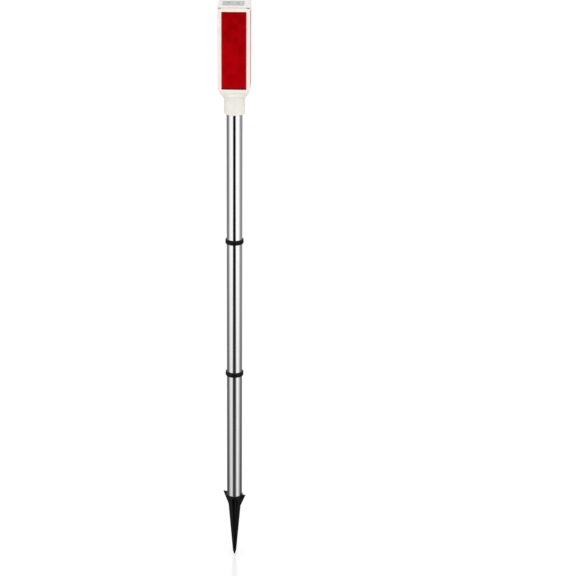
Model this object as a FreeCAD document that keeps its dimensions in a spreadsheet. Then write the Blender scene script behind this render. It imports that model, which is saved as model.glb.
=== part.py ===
import FreeCAD, Part
import os
import Sketcher

# Solar driveway marker: a square reflector head on a pole of three push-fit tubes, with a ground spike.
# Millimetres. The origin is on the pole's axis at ground level, +Z is up and the head's front faces -Y.

doc = FreeCAD.newDocument("solar_driveway_marker")

# ---------------------------------------------------------------- driving dimensions

DIMENSIONS = [
    ("tube_radius", 12.7, "outside radius of a pole tube, a 25.4 mm tube"),
    ("tube_wall", 0.6, "wall of a pole tube"),
    ("tube_length", 223, "length of each of the three tubes"),
    ("fit_gap", 0.05, "radial clearance of every push fit"),
    ("flange_radius", 14.75, "coupler flange between two tubes"),
    ("flange_height", 7.85, "height of the coupler flange"),
    ("flange_round", 1.8, "rounding of the flange's rims"),
    ("plug_length", 28, "how far a plug reaches into a tube"),
    ("plug_wall", 2.2, "wall of a hollow plug"),
    ("plug_chamfer", 0.8, "lead-in at a plug's end"),
    ("groove_width", 3, "relief grooves along a plug"),
    ("groove_depth", 0.7, "depth of a relief groove"),
    ("groove_count", 6, "relief grooves round a plug"),
    ("socket_depth", 2.85, "how deep the lower tube stands in the spike's cup"),
    ("cup_radius", 14, "outside radius of the spike's cup"),
    ("cup_height", 5, "height of the spike's cup"),
    ("fin_reach", 20.3, "radius of the two horned fins at the top"),
    ("horn_rise", 1.2, "how far the horns stand above the cup"),
    ("fin_neck", 10.8, "radius of the fins where the flare ends"),
    ("fin_flare", 20.9, "height of the flare"),
    ("fin_tip", 2.6, "radius of the fins where the point begins"),
    ("fin_thickness", 2.4, "thickness of a fin"),
    ("point_height", 6, "height of the spike's blunt point"),
    ("spike_depth", 115, "length of the spike below ground level"),
    ("spike_core", 3.6, "radius of the spike's core at the top"),
    ("spike_core_tip", 1.4, "radius of the spike's core where the point begins"),
    ("spike_turn", -23, "angle of the first horned fin from +X, degrees"),
    ("collar_radius", 16.35, "outside radius of the neck collar"),
    ("collar_skirt", 15.35, "how far the collar's skirt covers the upper tube"),
    ("collar_height", 20.15, "distance from the upper tube's end to the head"),
    ("collar_flare", 14, "distance from the head down to the foot of the flare"),
    ("collar_flare_radius", 21.7, "collar radius where it meets the plinth"),
    ("collar_flare_round", 14, "radius of the flare's hollow curve"),
    ("collar_round", 1.5, "rounding of the skirt's lower rim"),
    ("collar_spigot", 26, "how far the collar reaches into the upper tube"),
    ("collar_bore", 9, "radius of the hole through the collar"),
    ("collar_boss", 11, "radius of the collar's boss in the head's floor"),
    ("head_width", 50, "width of the head, the same each way"),
    ("head_height", 136.4, "height of the housing without its cap"),
    ("head_corner", 2.4, "rounding of the head's upright corners"),
    ("head_hem", 9, "rounding of the head's lower edges"),
    ("plinth_radius", 22, "round plinth under the head"),
    ("plinth_height", 4.2, "height of the plinth"),
    ("notch_place", 19.7, "distance from the axis to the notches in the head's upper corners"),
    ("notch_height", 1.6, "height of the corner notches"),
    ("floor_thickness", 2.6, "floor of the housing"),
    ("cavity_width", 42.8, "width of the housing's cavity"),
    ("frame_bottom", 3.2, "height of the raised frame's lower edge in the head"),
    ("frame_top", 135.6, "height of the raised frame's upper edge in the head"),
    ("frame_corner", 7, "corner radius of a raised frame"),
    ("frame_proud", 0.8, "how far a raised frame stands out"),
    ("window_width", 38.8, "width of a reflector window"),
    ("window_bottom", 8.65, "height of the window's lower edge in the head"),
    ("window_top", 130.2, "height of the window's upper edge in the head"),
    ("window_corner", 1.2, "corner radius of a window"),
    ("window_depth", 2.5, "depth of the reflector's seat"),
    ("ledge_width", 2, "ledge behind a reflector's edge"),
    ("reflector_gap", 0.1, "gap round a reflector"),
    ("reflector_plate", 1.5, "thickness of a reflector's plate"),
    ("reflector_rim", 0.3, "height of a reflector's sealed rim"),
    ("reflector_rim_width", 1.3, "width of a reflector's sealed rim"),
    ("gasket_height", 0.3, "seal between housing and cap"),
    ("gasket_width", 48, "outside width of the seal"),
    ("cap_thickness", 1.6, "thickness of the cap's plate"),
    ("cap_core", 1.4, "thickness of the cap's core under its plate"),
    ("cap_corner", 2.8, "corner radius of the cap"),
    ("cap_round", 0.6, "rounding of the cap's upper edge"),
    ("skirt_width", 42.6, "outside width of the cap's skirt"),
    ("skirt_wall", 1.5, "wall of the cap's skirt"),
    ("skirt_height", 7, "height of the cap's skirt"),
    ("panel_width", 33.4, "solar window in the cap"),
    ("panel_recess", 1.2, "depth of the solar window's recess"),
    ("cell_width", 32, "width of the solar cell"),
    ("cell_offset", 1.6, "how far the solar cell sits to the left of the cap's middle"),
    ("cell_thickness", 0.5, "thickness of the solar cell"),
    ("glazing_thickness", 0.6, "clear cover over the solar cell"),
    ("boss_radius", 2.6, "cap bosses that the inner tray screws to"),
    ("boss_place", 14.5, "place of the bosses each way from the axis"),
    ("screw_radius", 1, "radius of a screw's shank"),
    ("screw_head_radius", 1.9, "radius of a screw's head"),
    ("screw_head_height", 1.3, "height of a screw's head"),
    ("screw_length", 5, "length of a screw's shank"),
    ("screw_recess", 0.5, "width of the cross in a screw's head"),
    ("tray_width", 37, "width of the inner tray's plate"),
    ("tray_thickness", 2, "thickness of the inner tray's plate"),
    ("tray_corner", 3, "corner radius of the inner tray's plate"),
    ("post_radius", 2.3, "radius of the tray's posts"),
    ("post_place", 14.5, "place of the posts each way from the axis"),
    ("post_length", 55, "length of the tray's posts"),
    ("board_width", 35, "width of the circuit board"),
    ("board_thickness", 1.6, "thickness of the circuit board"),
    ("cell_radius", 5.25, "radius of the rechargeable battery"),
    ("cell_length", 43.6, "length of the battery without its button"),
    ("cell_button", 0.9, "height of the battery's button"),
    ("cell_button_radius", 1.9, "radius of the battery's button"),
    ("holder_gap", 0.4, "chamfer of the battery's rims"),
    ("chip_length", 5, "length of the driver chip"),
    ("chip_width", 4, "width of the driver chip"),
    ("chip_height", 1.5, "height of the driver chip"),
    ("chip_place", 8, "place of the chip and its neighbours from the middle"),
    ("choke_radius", 3, "radius of the choke"),
    ("choke_height", 3.5, "height of the choke"),
    ("capacitor_radius", 2, "radius of a capacitor"),
    ("capacitor_height", 5.5, "height of a capacitor"),
    ("capacitor_place", 3.5, "place of a capacitor from the middle"),
    ("resistor_width", 1.2, "width of a resistor"),
    ("resistor_length", 2, "length of a resistor"),
    ("resistor_height", 0.6, "height of a resistor"),
    ("resistor_pitch", 2.4, "distance between resistors"),
    ("holder_width", 13.6, "width of the battery holder"),
    ("holder_wall", 1.2, "wall of the battery holder"),
    ("holder_length", 52, "length of the battery holder"),
    ("spring_strip", 5, "width of the battery's leaf spring"),
    ("spring_height", 3.3, "height of the battery's leaf spring"),
    ("spring_seat_inset", 0.8, "how far the spring's seat stops short of its foot"),
    ("spring_foot", 1.2, "width of the fold between the spring's foot and leaf"),
    ("spring_knee", 2, "width of the fold between the spring's leaf and seat"),
    ("contact_thickness", 0.4, "thickness of the battery's contact plate"),
    ("contact_width", 8, "width of the battery's contact plate"),
    ("led_radius", 2.5, "radius of a lamp's body"),
    ("led_length", 5, "length of a lamp's body with its flange"),
    ("led_flange", 2.9, "radius of a lamp's flange"),
    ("led_place", 11, "distance of a lamp's flange from the axis"),
    ("led_height", 3.6, "height of a lamp's axis above the board"),
    ("led_rim", 1, "thickness of a lamp's flange"),
    ("led_bend", 2, "how far a lamp's legs run back before they turn down"),
    ("led_leg", 0.5, "width of a lamp's leg"),
    ("led_leg_gap", 2.54, "gap between a lamp's legs"),
    ("wire_radius", 0.65, "radius of an insulated lead"),
    ("wire_place", 8, "place of the solar leads each way from the middle"),
    ("switch_length", 8.6, "length of the slide switch"),
    ("switch_width", 4.4, "width of the slide switch"),
    ("switch_height", 4.6, "height of the slide switch"),
    ("switch_place", -11, "place of the slide switch from front to back"),
    ("knob_length", 1.6, "length of the switch's knob"),
    ("knob_width", 1.8, "width of the switch's knob"),
    ("knob_height", 3.2, "height of the switch's knob"),
    ("knob_slot", 5.2, "length of the knob's slot"),
    ("knob_root", 1.2, "depth of the knob's slot"),
]

sheet = doc.addObject("Spreadsheet::Sheet", "Dim")
for row, (alias, number, meaning) in enumerate(DIMENSIONS, start=1):
    sheet.set(f"A{row}", alias)
    sheet.set(f"B{row}", str(number))
    sheet.setAlias(f"B{row}", alias)
    sheet.set(f"C{row}", meaning)
doc.recompute()

# Heights of the main joints, and the places that several pieces share.
POLE_LOWER_Z = "(-Dim.socket_depth)"
POLE_MIDDLE_Z = f"({POLE_LOWER_Z} + Dim.tube_length + Dim.flange_height)"
POLE_UPPER_Z = f"({POLE_MIDDLE_Z} + Dim.tube_length + Dim.flange_height)"
POLE_TOP_Z = f"({POLE_UPPER_Z} + Dim.tube_length)"
HEAD_Z = f"({POLE_TOP_Z} + Dim.collar_height)"
GASKET_Z = f"({HEAD_Z} + Dim.head_height)"
CAP_Z = f"({GASKET_Z} + Dim.gasket_height)"
RECESS_Z = f"({CAP_Z} + Dim.cap_thickness - Dim.panel_recess)"
TRAY_Z = f"({CAP_Z} - Dim.skirt_height - Dim.tray_thickness)"
BOARD_Z = f"({TRAY_Z} - Dim.post_length - Dim.board_thickness)"
BOARD_TOP_Z = f"({BOARD_Z} + Dim.board_thickness)"
HOLDER_Z = f"({TRAY_Z} - Dim.holder_length)"
BATTERY_Z = f"({HOLDER_Z} + Dim.holder_wall + Dim.spring_height)"
TUBE_BORE = "(Dim.tube_radius - Dim.tube_wall)"
PLUG_RADIUS = f"({TUBE_BORE} - Dim.fit_gap)"
PLUG_BORE = f"({PLUG_RADIUS} - Dim.plug_wall)"
HALF_HEAD = "(Dim.head_width / 2)"

WIRE_Y = "Dim.boss_place"

QUARTERS = (0, 90, 180, 270)
SIDES = ((1, 0), (0, 1), (-1, 0), (0, -1))
CORNERS = ((1, 1), (-1, 1), (-1, -1), (1, -1))

parts = []      # the finished sub-parts, each written to its own file

# ---------------------------------------------------------------- drawing helpers


def value(expression):
    """The number that an expression on the sheet comes to."""
    return float(sheet.evalExpression(str(expression)))


def spots_at(directions, distance):
    """Pairs of expressions: the places at one distance each way from the axis."""
    return [(f"{x} * {distance}", f"{y} * {distance}") for x, y in directions]


def finished(item, label):
    """Names a finished sub-part and adds it to the list."""
    item.Label = label
    parts.append(item)
    return item


def place(item, x="0", y="0", z="0", turn=0):
    """Puts an object at x, y, z, turned about the pole's axis direction by turn degrees."""
    item.Placement = FreeCAD.Placement(FreeCAD.Vector(), FreeCAD.Rotation(FreeCAD.Vector(0, 0, 1), turn))
    for axis, expression in zip("xyz", (x, y, z)):
        item.setExpression(f"Placement.Base.{axis}", str(expression))
    return item


def body_of(name, z="0", turn=0):
    """An empty PartDesign body at height z."""
    return place(doc.addObject("PartDesign::Body", f"{name}_body"), z=z, turn=turn)


def new_sketch(body, plane, name, offset="0"):
    """A sketch on one of the body's own origin planes, moved along the plane's normal by offset."""
    sketch = body.newObject("Sketcher::SketchObject", name)
    support = next(item for item in body.Origin.OriginFeatures if item.Role == plane)
    sketch.AttachmentSupport = [(support, "")]
    sketch.MapMode = "FlatFace"
    sketch.setExpression("AttachmentOffset.Base.z", offset)
    return sketch


def bind(sketch, kind, geometry, expression):
    """A dimension of the sketch that follows an expression on the sheet."""
    index = sketch.addConstraint(Sketcher.Constraint(kind, *geometry, value(expression)))
    sketch.setExpression(f"Constraints[{index}]", str(expression))


def outline(sketch, corners, rounds=None):
    """A closed outline through the corners, which are pairs of expressions.

    rounds maps a corner's number to the radius of the side that leaves it. A side with a radius is an arc,
    on the left of its chord when the radius's sign is positive and on the right when it is negative.
    """
    rounds = rounds or {}
    spots = [FreeCAD.Vector(value(x), value(y), 0) for x, y in corners]
    first = sketch.GeometryCount
    ends = []
    for number, start in enumerate(spots):
        radius, side = rounds.get(number, (None, 1))
        finish = spots[(number + 1) % len(spots)]
        if radius is None:
            sketch.addGeometry(Part.LineSegment(start, finish), False)
            ends.append((1, 2))
            continue
        chord = finish - start
        normal = FreeCAD.Vector(-chord.y, chord.x, 0).normalize() * side
        size = value(radius)
        sagitta = size - (size ** 2 - (chord.Length / 2) ** 2) ** 0.5
        middle = (start + finish) * 0.5 + normal * sagitta
        counterclockwise = side < 0
        arc = Part.Arc(start, middle, finish) if counterclockwise else Part.Arc(finish, middle, start)
        index = sketch.addGeometry(arc, False)
        ends.append((1, 2) if counterclockwise else (2, 1))
        bind(sketch, "Radius", (index,), radius)
    for number, (x, y) in enumerate(corners):
        before = (number - 1) % len(corners)
        sketch.addConstraint(Sketcher.Constraint("Coincident", first + before, ends[before][1],
                                                 first + number, ends[number][0]))
        bind(sketch, "DistanceX", (-1, 1, first + number, ends[number][0]), x)
        bind(sketch, "DistanceY", (-1, 1, first + number, ends[number][0]), y)
    return sketch


def rounded_rectangle(sketch, half_width, low, high, corner):
    """A rectangle about the vertical axis, from low to high, with rounded corners."""
    inner = f"({half_width} - {corner})"
    lower, upper = f"{low} + {corner}", f"{high} - {corner}"
    corners = [(inner, low), (half_width, lower), (half_width, upper), (inner, high),
               (f"-{inner}", high), (f"-{half_width}", upper), (f"-{half_width}", lower), (f"-{inner}", low)]
    return outline(sketch, corners, {number: (corner, -1) for number in (0, 2, 4, 6)})


def rectangle(sketch, half_width, low, high):
    """A plain rectangle about the vertical axis, from low to high."""
    return outline(sketch, [(half_width, low), (half_width, high), (f"-{half_width}", high),
                            (f"-{half_width}", low)])


def circle(sketch, radius, x="0", y="0"):
    """A circle whose centre is at x, y."""
    index = sketch.addGeometry(Part.Circle(FreeCAD.Vector(value(x), value(y), 0), FreeCAD.Vector(0, 0, 1),
                                           value(radius)), False)
    bind(sketch, "Radius", (index,), radius)
    bind(sketch, "DistanceX", (-1, 1, index, 3), x)
    bind(sketch, "DistanceY", (-1, 1, index, 3), y)
    return sketch


def feature(body, kind, name, profile, length=None, **settings):
    """A PartDesign pad or pocket of a sketch."""
    item = body.newObject(f"PartDesign::{kind}", name)
    item.Profile = profile
    for setting, choice in settings.items():
        setattr(item, setting, choice)
    if length is not None:
        item.setExpression("Length", length)
    return item


def revolve(body, name, profile):
    """A full turn of a sketch about its vertical axis."""
    item = body.newObject("PartDesign::Revolution", name)
    item.Profile = profile
    item.ReferenceAxis = (profile, ["V_Axis"])
    item.Angle = 360
    return item


def repeat_round(body, name, features, count):
    """Features repeated round the body's vertical axis."""
    pattern = body.newObject("PartDesign::PolarPattern", name)
    pattern.Originals = features
    pattern.Axis = (next(item for item in body.Origin.OriginFeatures if item.Role == "Z_Axis"), [""])
    pattern.Angle = 360
    pattern.setExpression("Occurrences", count)
    body.Tip = pattern
    return pattern


def dress(body, kind, name, base, wanted, size_name, size):
    """A fillet or chamfer on the edges of base for which wanted(edge) is true."""
    doc.recompute()
    edges = [f"Edge{number}" for number, edge in enumerate(base.Shape.Edges, start=1) if wanted(edge)]
    item = body.newObject(f"PartDesign::{kind}", name)
    item.Base = (base, edges)
    item.setExpression(size_name, size)
    return item


def box(name, size, x="0", y="0", z="0"):
    """A box of size length, width and height, centred on x and y, standing at z."""
    item = doc.addObject("Part::Box", name)
    for side, expression in zip(("Length", "Width", "Height"), size):
        item.setExpression(side, expression)
    return place(item, f"{x} - ({size[0]}) / 2", f"{y} - ({size[1]}) / 2", z)


def cylinder(name, radius, height, x="0", y="0", z="0"):
    """An upright cylinder standing at z."""
    item = doc.addObject("Part::Cylinder", name)
    item.setExpression("Radius", radius)
    item.setExpression("Height", height)
    return place(item, x, y, z)


def cut(name, base, tool):
    item = doc.addObject("Part::Cut", name)
    item.Base = base
    item.Tool = tool
    return item


def fuse(name, pieces):
    item = doc.addObject("Part::MultiFuse", name)
    item.Shapes = pieces
    return item


def group(name, pieces):
    """Several separate solids that share one sub-part."""
    item = doc.addObject("Part::Compound", name)
    item.Links = pieces
    return item


# ---------------------------------------------------------------- pole


def make_tube(label, z):
    """A plain thin-walled tube."""
    body = body_of(label, z)
    section = new_sketch(body, "XY_Plane", f"{label}_section")
    circle(section, "Dim.tube_radius")
    circle(section, TUBE_BORE)
    feature(body, "Pad", f"{label}_wall", section, "Dim.tube_length")
    return finished(body, label)


def relieve(body, name, low, length):
    """Shallow grooves along a plug, which let the tube's burr and trapped air past."""
    section = new_sketch(body, "XY_Plane", f"{name}_section", low)
    rectangle(section, "Dim.groove_width / 2", f"{PLUG_RADIUS} - Dim.groove_depth", f"{PLUG_RADIUS} + 1")
    groove = feature(body, "Pocket", name, section, length, Reversed=True)
    return repeat_round(body, f"{name}_round", [groove], "Dim.groove_count")


def make_coupler(label, z):
    """A hollow coupler: a rounded flange, and a grooved plug up and down into the tubes."""
    body = body_of(label, z)
    profile = new_sketch(body, "XZ_Plane", f"{label}_profile")
    top = "(Dim.flange_height + Dim.plug_length)"
    lead = f"({PLUG_RADIUS} - Dim.plug_chamfer)"
    shoulder = "(Dim.flange_radius - Dim.flange_round)"
    outline(profile, [
        (PLUG_BORE, "-Dim.plug_length"), (lead, "-Dim.plug_length"),
        (PLUG_RADIUS, "-Dim.plug_length + Dim.plug_chamfer"), (PLUG_RADIUS, "0"), (shoulder, "0"),
        ("Dim.flange_radius", "Dim.flange_round"),
        ("Dim.flange_radius", "Dim.flange_height - Dim.flange_round"), (shoulder, "Dim.flange_height"),
        (PLUG_RADIUS, "Dim.flange_height"), (PLUG_RADIUS, f"{top} - Dim.plug_chamfer"), (lead, top),
        (PLUG_BORE, top),
    ], {4: ("Dim.flange_round", -1), 6: ("Dim.flange_round", -1)})
    revolve(body, f"{label}_turned", profile)
    relieve(body, f"{label}_lower_groove", "-Dim.plug_length", "Dim.plug_length - Dim.groove_width")
    relieve(body, f"{label}_upper_groove", "Dim.flange_height + Dim.groove_width",
            "Dim.plug_length - Dim.groove_width")
    return finished(body, label)


def make_spike():
    """A tapered spike with four fins, two of them horned, a cup for the tube's end and a plug in it."""
    body = body_of("ground_spike", turn=value("Dim.spike_turn"))
    tube_seat = "(Dim.tube_radius + Dim.fit_gap)"
    point = "(Dim.point_height - Dim.spike_depth)"
    plug_top = "(Dim.plug_length - Dim.socket_depth)"
    horned = new_sketch(body, "XZ_Plane", "horned_fin_outline")
    outline(horned, [
        ("0", "-Dim.spike_depth"), ("Dim.fin_tip", point), ("Dim.fin_neck", "-Dim.fin_flare"),
        ("Dim.fin_reach", "Dim.horn_rise"), (tube_seat, "Dim.horn_rise"), (tube_seat, "-Dim.socket_depth"),
        ("0", "-Dim.socket_depth"),
    ])
    blade = feature(body, "Pad", "horned_fin", horned, "Dim.fin_thickness", Midplane=True)
    repeat_round(body, "horned_fins", [blade], "2")
    plain = new_sketch(body, "YZ_Plane", "plain_fin_outline")
    outline(plain, [
        ("0", "-Dim.spike_depth"), ("Dim.fin_tip", point), ("Dim.fin_neck", "-Dim.fin_flare"),
        ("Dim.cup_radius", "-Dim.cup_height"), ("0", "-Dim.cup_height"),
    ])
    rib = feature(body, "Pad", "plain_fin", plain, "Dim.fin_thickness", Midplane=True)
    repeat_round(body, "plain_fins", [rib], "2")
    core = new_sketch(body, "XZ_Plane", "spike_core_profile")
    outline(core, [
        ("0", "-Dim.spike_depth"), ("Dim.spike_core_tip", point), ("Dim.spike_core", "-Dim.cup_height"),
        ("Dim.cup_radius", "-Dim.cup_height"), ("Dim.cup_radius", "0"), (tube_seat, "0"),
        (tube_seat, "-Dim.socket_depth"), (PLUG_RADIUS, "-Dim.socket_depth"),
        (PLUG_RADIUS, f"{plug_top} - Dim.plug_chamfer"), (f"{PLUG_RADIUS} - Dim.plug_chamfer", plug_top),
        ("0", plug_top),
    ])
    revolve(body, "spike_core_cup_and_plug", core)
    hollow = new_sketch(body, "XY_Plane", "spike_plug_hollow", plug_top)
    circle(hollow, PLUG_BORE)
    feature(body, "Pocket", "spike_plug_bore", hollow, "Dim.plug_length - Dim.plug_wall")
    relieve(body, "spike_plug_groove", "Dim.groove_width", f"{plug_top} - Dim.groove_width")
    return finished(body, "ground_spike")


# ---------------------------------------------------------------- head


def make_collar():
    """The neck collar: a skirt outside the upper tube, a spigot inside it and a flare under the head."""
    body = body_of("neck_collar", HEAD_Z)
    profile = new_sketch(body, "XZ_Plane", "collar_profile")
    skirt_end = "(-Dim.collar_height - Dim.collar_skirt)"
    spigot_end = "(-Dim.collar_height - Dim.collar_spigot)"
    outline(profile, [
        ("Dim.collar_bore", spigot_end), (PLUG_RADIUS, spigot_end), (PLUG_RADIUS, "-Dim.collar_height"),
        ("Dim.tube_radius + Dim.fit_gap", "-Dim.collar_height"), ("Dim.tube_radius + Dim.fit_gap", skirt_end),
        ("Dim.collar_radius - Dim.collar_round", skirt_end),
        ("Dim.collar_radius", f"{skirt_end} + Dim.collar_round"), ("Dim.collar_radius", "-Dim.collar_flare"),
        ("Dim.collar_flare_radius", "-Dim.plinth_height"), ("Dim.collar_boss", "-Dim.plinth_height"),
        ("Dim.collar_boss", "Dim.floor_thickness"), ("Dim.collar_bore", "Dim.floor_thickness"),
    ], {5: ("Dim.collar_round", -1), 7: ("Dim.collar_flare_round", 1)})
    revolve(body, "collar_turned", profile)
    return finished(body, "neck_collar")


def make_housing():
    """The square housing, open at the top, with a raised frame and a stepped window on each side."""
    body = body_of("head_housing", HEAD_Z)
    half_cavity = "(Dim.cavity_width / 2)"
    half_window = "(Dim.window_width / 2)"
    half_opening = "(Dim.window_width / 2 - Dim.ledge_width)"
    section = new_sketch(body, "XY_Plane", "housing_section")
    rounded_rectangle(section, HALF_HEAD, f"-{HALF_HEAD}", HALF_HEAD, "Dim.head_corner")
    feature(body, "Pad", "housing_block", section, "Dim.head_height")
    inside = new_sketch(body, "XY_Plane", "housing_cavity_section", "Dim.floor_thickness")
    rounded_rectangle(inside, half_cavity, f"-{half_cavity}", half_cavity, "Dim.head_corner")
    feature(body, "Pocket", "housing_cavity", inside, "Dim.head_height", Reversed=True)
    face = HALF_HEAD
    surround = new_sketch(body, "XZ_Plane", "frame_surround", face)
    rectangle(surround, "Dim.head_width", "-1", "Dim.head_height + 1")
    rounded_rectangle(surround, f"({HALF_HEAD} + 0.001)", "Dim.frame_bottom", "Dim.frame_top",
                      "Dim.frame_corner")
    around_frame = feature(body, "Pocket", "frame_relief", surround, "Dim.frame_proud")
    seat = new_sketch(body, "XZ_Plane", "window_seat_outline", face)
    rounded_rectangle(seat, half_window, "Dim.window_bottom", "Dim.window_top", "Dim.window_corner")
    window_seat = feature(body, "Pocket", "window_seat", seat, "Dim.window_depth")
    opening = new_sketch(body, "XZ_Plane", "window_opening_outline", face)
    rounded_rectangle(opening, half_opening, "Dim.window_bottom + Dim.ledge_width",
                      "Dim.window_top - Dim.ledge_width", "Dim.window_corner")
    window_opening = feature(body, "Pocket", "window_opening", opening,
                             "(Dim.head_width - Dim.cavity_width) / 2 + 1")
    hem = new_sketch(body, "XZ_Plane", "hem_outline")
    outline(hem, [(f"{HALF_HEAD} - Dim.head_hem", "0"), (f"{HALF_HEAD} + 1", "0"),
                  (f"{HALF_HEAD} + 1", "Dim.head_hem"), (HALF_HEAD, "Dim.head_hem")],
            {3: ("Dim.head_hem", 1)})
    rounded_hem = feature(body, "Pocket", "hem_rounding", hem, "Dim.head_width + 2", Midplane=True)
    repeat_round(body, "four_sides", [around_frame, window_seat, window_opening, rounded_hem], "4")

    plinth = new_sketch(body, "XY_Plane", "plinth_section", "-Dim.plinth_height")
    circle(plinth, "Dim.plinth_radius")
    circle(plinth, "Dim.collar_boss")
    feature(body, "Pad", "plinth", plinth, "Dim.plinth_height + Dim.floor_thickness")
    neck = new_sketch(body, "XY_Plane", "housing_neck_section", "Dim.floor_thickness")
    circle(neck, "Dim.collar_boss")
    feature(body, "Pocket", "housing_neck_hole", neck, "Dim.floor_thickness + Dim.plinth_height")
    corner = new_sketch(body, "XY_Plane", "corner_notch_section", "Dim.head_height")
    inner, outer = "Dim.notch_place", f"({HALF_HEAD} + 1)"
    outline(corner, [(inner, inner), (outer, inner), (outer, outer), (inner, outer)])
    notch = feature(body, "Pocket", "corner_notch", corner, "Dim.notch_height")
    repeat_round(body, "corner_notches", [notch], "4")
    return finished(body, "head_housing")


def make_reflector(label, turn):
    """A reflector panel with a raised sealed rim, seated in the window of one side."""
    body = body_of(label, HEAD_Z, turn)
    half_width = "(Dim.window_width / 2 - Dim.reflector_gap)"
    low = "(Dim.window_bottom + Dim.reflector_gap)"
    high = "(Dim.window_top - Dim.reflector_gap)"
    back = f"({HALF_HEAD} - Dim.window_depth)"
    plate = new_sketch(body, "XZ_Plane", f"{label}_outline", back)
    rounded_rectangle(plate, half_width, low, high, "Dim.window_corner")
    feature(body, "Pad", f"{label}_plate", plate, "Dim.reflector_plate")
    rim = new_sketch(body, "XZ_Plane", f"{label}_rim_outline", f"{back} + Dim.reflector_plate")
    rounded_rectangle(rim, half_width, low, high, "Dim.window_corner")
    rectangle(rim, f"({half_width} - Dim.reflector_rim_width)", f"{low} + Dim.reflector_rim_width",
              f"{high} - Dim.reflector_rim_width")
    feature(body, "Pad", f"{label}_rim", rim, "Dim.reflector_rim")
    return finished(body, label)


def make_gasket():
    """The thin square seal between the housing and its cap."""
    body = body_of("cap_gasket", GASKET_Z)
    half_width = "(Dim.gasket_width / 2)"
    half_cavity = "(Dim.cavity_width / 2)"
    section = new_sketch(body, "XY_Plane", "gasket_section")
    rounded_rectangle(section, half_width, f"-{half_width}", half_width, "Dim.head_corner")
    rounded_rectangle(section, half_cavity, f"-{half_cavity}", half_cavity, "Dim.head_corner")
    feature(body, "Pad", "gasket_ring", section, "Dim.gasket_height")
    return finished(body, "cap_gasket")


def make_cap():
    """The flat cap: a recess for the solar cell, a skirt into the housing and bosses for the tray."""
    body = body_of("top_cap", CAP_Z)
    section = new_sketch(body, "XY_Plane", "cap_section")
    rounded_rectangle(section, HALF_HEAD, f"-{HALF_HEAD}", HALF_HEAD, "Dim.cap_corner")
    plate = feature(body, "Pad", "cap_plate", section, "Dim.cap_thickness")

    def upper_edge(edge):
        box_of = edge.BoundBox
        return box_of.ZMin > value("Dim.cap_thickness") - 1e-3

    dress(body, "Fillet", "cap_upper_edge", plate, upper_edge, "Radius", "Dim.cap_round")
    half_panel = "(Dim.panel_width / 2)"
    window = new_sketch(body, "XY_Plane", "cap_window_section", "Dim.cap_thickness")
    window.setExpression("AttachmentOffset.Base.x", "-Dim.cell_offset")
    rounded_rectangle(window, half_panel, f"-{half_panel}", half_panel, "Dim.window_corner")
    feature(body, "Pocket", "cap_window", window, "Dim.panel_recess")
    half_skirt = "(Dim.skirt_width / 2)"
    core = new_sketch(body, "XY_Plane", "cap_core_section")
    rounded_rectangle(core, half_skirt, f"-{half_skirt}", half_skirt, "Dim.head_corner")
    feature(body, "Pad", "cap_core", core, "Dim.cap_core", Reversed=True)
    skirt = new_sketch(body, "XY_Plane", "cap_skirt_section")
    half_inside = "(Dim.skirt_width / 2 - Dim.skirt_wall)"
    rounded_rectangle(skirt, half_skirt, f"-{half_skirt}", half_skirt, "Dim.head_corner")
    rounded_rectangle(skirt, half_inside, f"-{half_inside}", half_inside,
                      "(Dim.head_corner - Dim.skirt_wall)")
    feature(body, "Pad", "cap_skirt", skirt, "Dim.skirt_height", Reversed=True)
    bosses = new_sketch(body, "XY_Plane", "cap_boss_section")
    for x, y in spots_at(SIDES, "Dim.boss_place"):
        circle(bosses, "Dim.boss_radius", x, y)
        circle(bosses, "Dim.screw_radius", x, y)
    feature(body, "Pad", "cap_bosses", bosses, "Dim.skirt_height", Reversed=True)
    lead_hole = new_sketch(body, "XY_Plane", "cap_lead_hole_section", "Dim.cap_thickness")
    for side in (1, -1):
        circle(lead_hole, "Dim.wire_radius + Dim.reflector_gap", f"{side} * Dim.wire_place", WIRE_Y)
    feature(body, "Pocket", "cap_lead_holes", lead_hole, "Dim.cap_thickness + Dim.cap_core")
    return finished(body, "top_cap")


def make_plate(label, z, width, thickness, corner, offset="0"):
    """A square plate with rounded corners, moved sideways by offset."""
    body = body_of(label, z)
    section = new_sketch(body, "XY_Plane", f"{label}_section")
    section.setExpression("AttachmentOffset.Base.x", offset)
    rounded_rectangle(section, f"({width} / 2)", f"-({width} / 2)", f"({width} / 2)", corner)
    feature(body, "Pad", f"{label}_plate", section, thickness)
    return body


# ---------------------------------------------------------------- electronics under the cap


def make_tray():
    """The inner tray: a plate that screws to the cap's bosses, and four posts that carry the board."""
    body = make_plate("inner_tray", TRAY_Z, "Dim.tray_width", "Dim.tray_thickness", "Dim.tray_corner")
    holes = new_sketch(body, "XY_Plane", "tray_hole_section", "Dim.tray_thickness")
    for x, y in spots_at(SIDES, "Dim.boss_place"):
        circle(holes, "Dim.screw_radius + Dim.reflector_gap", x, y)
    for side in (1, -1):
        circle(holes, "Dim.wire_radius + Dim.reflector_gap", f"{side} * Dim.wire_place", WIRE_Y)
    feature(body, "Pocket", "tray_holes", holes, "Dim.tray_thickness")
    posts = new_sketch(body, "XY_Plane", "tray_post_section")
    pilots = new_sketch(body, "XY_Plane", "tray_pilot_section", "-Dim.post_length")
    for x, y in spots_at(CORNERS, "Dim.post_place"):
        circle(posts, "Dim.post_radius", x, y)
        circle(pilots, "Dim.screw_radius", x, y)
    feature(body, "Pad", "tray_posts", posts, "Dim.post_length", Reversed=True)
    feature(body, "Pocket", "tray_pilots", pilots, "Dim.screw_length", Reversed=True)
    return finished(body, "inner_tray")


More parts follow.
